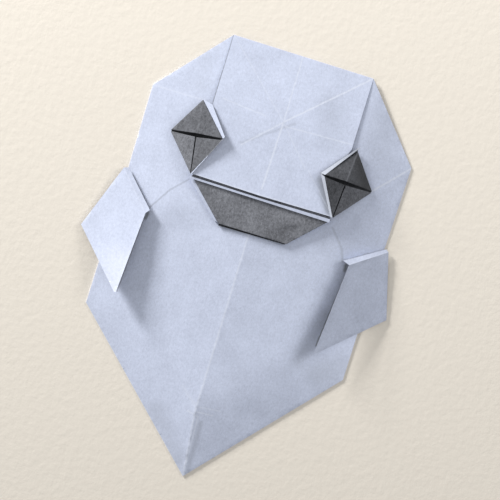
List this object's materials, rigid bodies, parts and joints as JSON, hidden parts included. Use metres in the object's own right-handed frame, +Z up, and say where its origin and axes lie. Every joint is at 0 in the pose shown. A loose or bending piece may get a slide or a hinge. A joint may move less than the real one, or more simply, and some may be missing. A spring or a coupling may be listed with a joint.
{
  "type": "origami ghost",
  "caption": "Ghost folded from a square of pale paper with a grey reverse, lying on its back, with raised grey diamond eyes, a grey mouth, a pointed body and lifted arms.",
  "frame": {"origin": "middle of the part's outline box, on the surface that it rests on", "axes": "+Y towards the top of the head, +Z up out of the face, +X to the right of the face as seen"},
  "size_m": [0.0878, 0.1194, 0.0062],
  "materials": {
    "paper": "matt"
  },
  "bodies": {
    "root": {"folded_sheet": "paper"}
  },
  "joints": []
}
